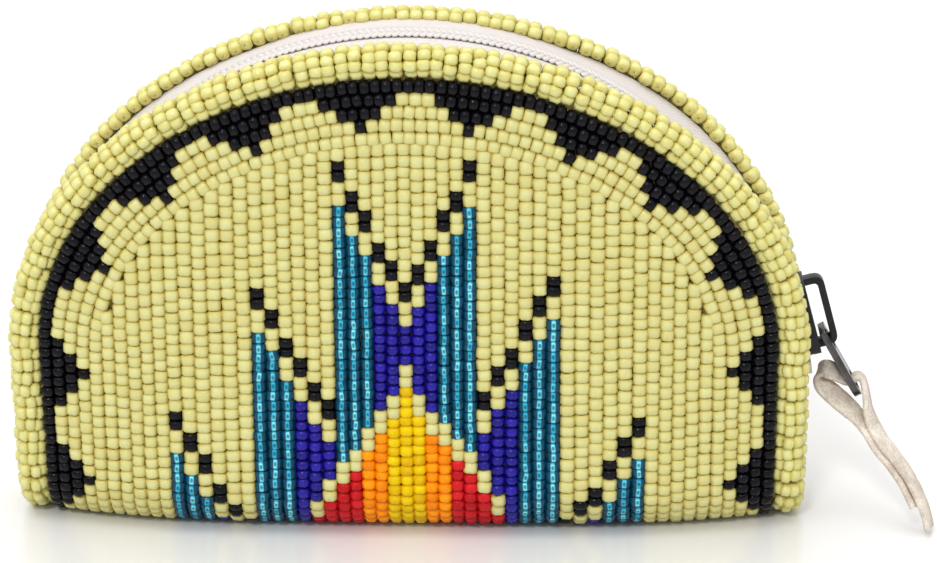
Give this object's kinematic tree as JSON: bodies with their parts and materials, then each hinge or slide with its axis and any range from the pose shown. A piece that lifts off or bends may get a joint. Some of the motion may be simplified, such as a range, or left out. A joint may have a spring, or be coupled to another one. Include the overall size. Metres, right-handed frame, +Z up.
{
  "type": "beaded coin purse",
  "caption": "Half-moon coin purse of beaded cloth with a stepped sun pattern, an arched coil zipper along the top and a leather thong on its pull.",
  "frame": {"origin": "middle of the flat strip under the fold, on which the purse stands", "axes": "+X along the width towards the parked slider, +Y from the front face to the back face, +Z up"},
  "size_m": [0.1492, 0.0286, 0.0814],
  "materials": {
    "backing": "soft tan backing",
    "yellow_beads": "pale yellow seed beads",
    "black_beads": "glossy black seed beads",
    "blue_beads": "cobalt blue seed beads",
    "teal_beads": "silver-lined teal seed beads",
    "sun_beads": "bright yellow seed beads",
    "orange_beads": "orange seed beads",
    "red_beads": "red seed beads",
    "tape_fabric": "woven off-white zipper tape",
    "coil_nylon": "off-white nylon coil",
    "slider_enamel": "black enamel",
    "tab_metal": "dark gunmetal",
    "thong_leather": "soft off-white suede thong"
  },
  "bodies": {
    "purse": {"base_sheet": "backing", "blue_centre_back": "blue_beads", "blue_centre_front": "blue_beads", "blue_middle_left_back": "blue_beads", "blue_middle_left_front": "blue_beads", "blue_middle_right_back": "blue_beads", "blue_middle_right_front": "blue_beads", "border_back": "black_beads", "border_front": "black_beads", "bottom_stop": "slider_enamel", "edge_roll_back": "yellow_beads", "edge_roll_front": "yellow_beads", "fold_beads": "yellow_beads", "ground_back": "yellow_beads", "ground_front": "yellow_beads", "sun_orange_left_back": "orange_beads", "sun_orange_left_front": "orange_beads", "sun_orange_right_back": "orange_beads", "sun_orange_right_front": "orange_beads", "sun_red_left_back": "red_beads", "sun_red_left_front": "red_beads", "sun_red_right_back": "red_beads", "sun_red_right_front": "red_beads", "sun_yellow_back": "sun_beads", "sun_yellow_front": "sun_beads", "teal_inner_left_back": "teal_beads", "teal_inner_left_front": "teal_beads", "teal_inner_right_back": "teal_beads", "teal_inner_right_front": "teal_beads", "teal_middle_left_back": "teal_beads", "teal_middle_left_front": "teal_beads", "teal_middle_right_back": "teal_beads", "teal_middle_right_front": "teal_beads", "teal_outer_left_back": "teal_beads", "teal_outer_left_front": "teal_beads", "teal_outer_right_back": "teal_beads", "teal_outer_right_front": "teal_beads", "top_stop_back": "slider_enamel", "top_stop_front": "slider_enamel", "zipper_coil_back": "coil_nylon", "zipper_coil_front": "coil_nylon", "zipper_tape_back": "tape_fabric", "zipper_tape_front": "tape_fabric"},
    "slider": {"slider": "slider_enamel"},
    "pull": {"pull_tab": "tab_metal", "leather_thong": "thong_leather"}
  },
  "joints": [
    {"name": "slider_travel", "type": "hinge", "parent": "purse", "child": "slider", "pos_m": [0, 0, 0.01649], "axis": [0, -1, 0], "range_deg": [0, 149.4]},
    {"name": "pull_swing", "type": "hinge", "parent": "slider", "child": "pull", "pos_m": [0.0661, 0, 0.03072], "axis": [0, -1, 0], "range_deg": [0, 105]}
  ]
}
